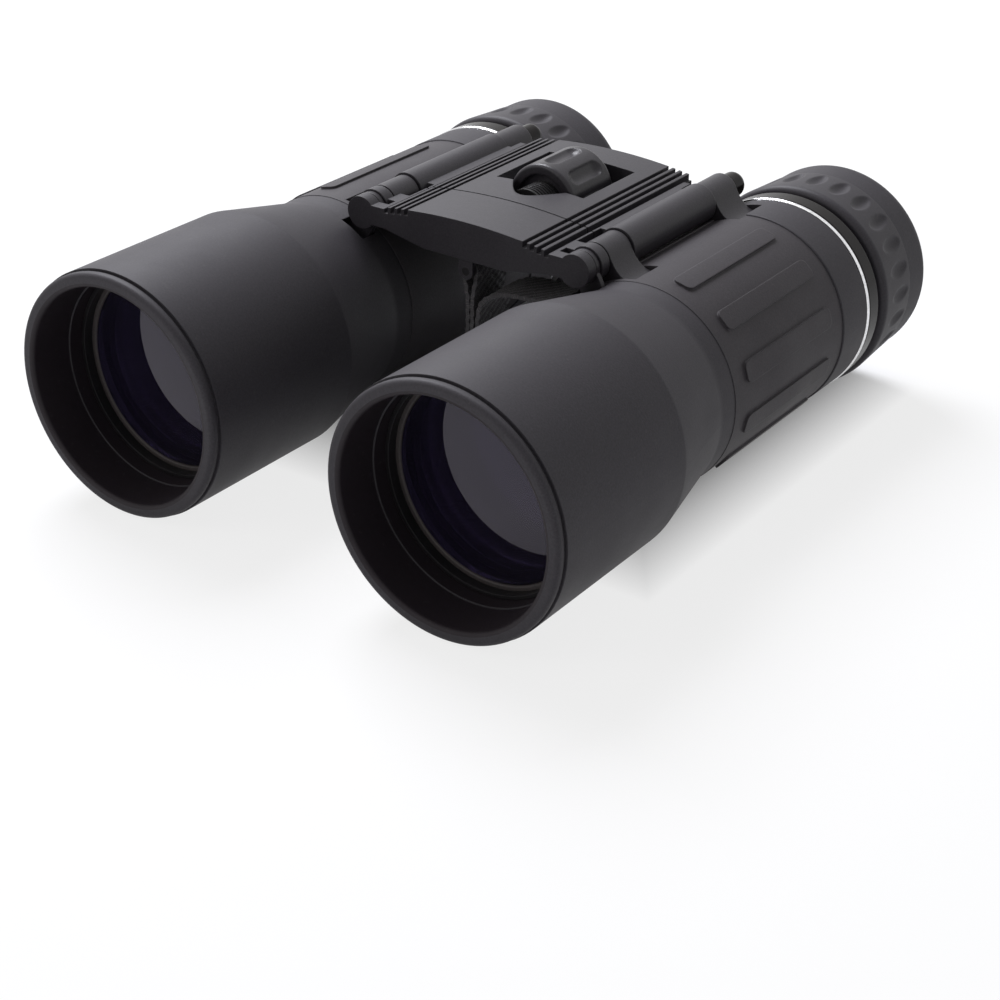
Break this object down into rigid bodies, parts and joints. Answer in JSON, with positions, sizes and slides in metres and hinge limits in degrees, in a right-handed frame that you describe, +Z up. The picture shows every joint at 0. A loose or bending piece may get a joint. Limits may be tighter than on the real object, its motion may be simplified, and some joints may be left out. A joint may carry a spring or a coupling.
{
  "type": "binoculars",
  "caption": "Black roof-prism binoculars with long flared objective hoods, a ribbed top bridge with a fluted focus wheel, folding hinges and dimpled eyepiece rings.",
  "frame": {"origin": "the bottom centre of the object with its hinges fully open: midway between the barrels, halfway along them, level with the underside of the objective bells", "axes": "+X across towards the user's left barrel, +Y along the optical axes from the objectives to the eyecups, +Z up to the bridge"},
  "size_m": [0.1212, 0.1424, 0.0531],
  "materials": {
    "housing_plastic": "black moulded plastic with a soft satin paint",
    "chassis_plastic": "black moulded plastic, satin",
    "inner_plastic": "flat black plastic",
    "grip_rubber": "matt black rubber",
    "cup_rubber": "matt black rubber",
    "bridge_metal": "black satin paint on die-cast metal",
    "wheel_plastic": "black, half gloss",
    "gloss_black": "gloss black",
    "silver_trim": "bright metal",
    "steel": "turned steel",
    "arm_steel": "blackened steel sheet",
    "brass": "turned brass",
    "cell_black": "black anodised aluminium",
    "coated_glass": "optical glass with a violet coating",
    "prism_glass": "optical glass",
    "nylon": "natural nylon",
    "webbing": "black woven nylon webbing"
  },
  "bodies": {
    "bridge": {"main_bridge": "bridge_metal", "friction_washer": "nylon"},
    "front_bridge": {"front_bridge": "bridge_metal", "hinge_rods": "steel", "focus_nut": "brass", "strap_bar": "arm_steel", "strap_loop": "webbing"},
    "wheel": {"focus_wheel": "wheel_plastic", "focus_screw": "steel"},
    "barrel_left": {"objective_housing_left": "housing_plastic", "barrel_chassis_left": "chassis_plastic", "grip_sleeve_left": "grip_rubber", "rear_collar_left": "housing_plastic", "trim_ring_left": "silver_trim", "clamp_ring_left": "gloss_black", "hinge_cap_left": "gloss_black", "prism_cage_left": "inner_plastic", "prisms_left": "prism_glass", "eyepiece_tube_left": "inner_plastic", "eyepiece_lenses_left": "coated_glass", "field_lens_ring_left": "cell_black", "eye_ring_left": "cell_black", "turning_ring_left": "housing_plastic", "eyecup_left": "cup_rubber"},
    "barrel_right": {"objective_housing_right": "housing_plastic", "barrel_chassis_right": "chassis_plastic", "grip_sleeve_right": "grip_rubber", "rear_collar_right": "housing_plastic", "trim_ring_right": "silver_trim", "clamp_ring_right": "gloss_black", "hinge_cap_right": "gloss_black", "prism_cage_right": "inner_plastic", "prisms_right": "prism_glass"},
    "cell_left": {"objective_cell_left": "cell_black", "lens_ring_left": "cell_black", "objective_lens_left": "coated_glass", "focus_arm_left": "arm_steel", "arm_screws_left": "steel"},
    "cell_right": {"objective_cell_right": "cell_black", "lens_ring_right": "cell_black", "objective_lens_right": "coated_glass", "focus_arm_right": "arm_steel", "arm_screws_right": "steel"},
    "eyepiece_right": {"eyepiece_tube_right": "inner_plastic", "eyepiece_lenses_right": "coated_glass", "field_lens_ring_right": "cell_black", "eye_ring_right": "cell_black"},
    "dioptre_ring": {"turning_ring_right": "housing_plastic", "eyecup_right": "cup_rubber"}
  },
  "joints": [
    {"name": "focus_turn", "type": "hinge", "parent": "bridge", "child": "wheel", "pos_m": [0, 0.01775, 0.04541], "axis": [0, -1, 0], "range_deg": [0, 361]},
    {"name": "front_slide", "type": "slide", "parent": "bridge", "child": "front_bridge", "axis": [0, -1, 0], "range_m": [0, 0.0025]},
    {"name": "fold_left", "type": "hinge", "parent": "bridge", "child": "barrel_left", "pos_m": [0.02464, 0.01575, 0.04541], "axis": [0, 1, 0], "range_deg": [0, 28]},
    {"name": "fold_right", "type": "hinge", "parent": "bridge", "child": "barrel_right", "pos_m": [-0.02464, 0.01575, 0.04541], "axis": [0, -1, 0], "range_deg": [0, 28]},
    {"name": "cell_left_slide", "type": "slide", "parent": "barrel_left", "child": "cell_left", "axis": [0, -1, 0], "range_m": [0, 0.00251]},
    {"name": "cell_right_slide", "type": "slide", "parent": "barrel_right", "child": "cell_right", "axis": [0, -1, 0], "range_m": [0, 0.00251]},
    {"name": "dioptre_slide", "type": "slide", "parent": "barrel_right", "child": "eyepiece_right", "axis": [0, 1, 0], "range_m": [-0.001, 0.001]},
    {"name": "dioptre_turn", "type": "hinge", "parent": "eyepiece_right", "child": "dioptre_ring", "pos_m": [-0.03657, 0.05575, 0.024], "axis": [0, 1, 0], "range_deg": [-45.5, 45.5]}
  ],
  "couplings": [
    {"joint": "focus_turn", "follows": "front_slide", "rad_per_m": 2513.3},
    {"joint": "cell_left_slide", "follows": "front_slide", "ratio": 1},
    {"joint": "cell_right_slide", "follows": "front_slide", "ratio": 1},
    {"joint": "dioptre_turn", "follows": "dioptre_slide", "rad_per_m": 785.4}
  ]
}
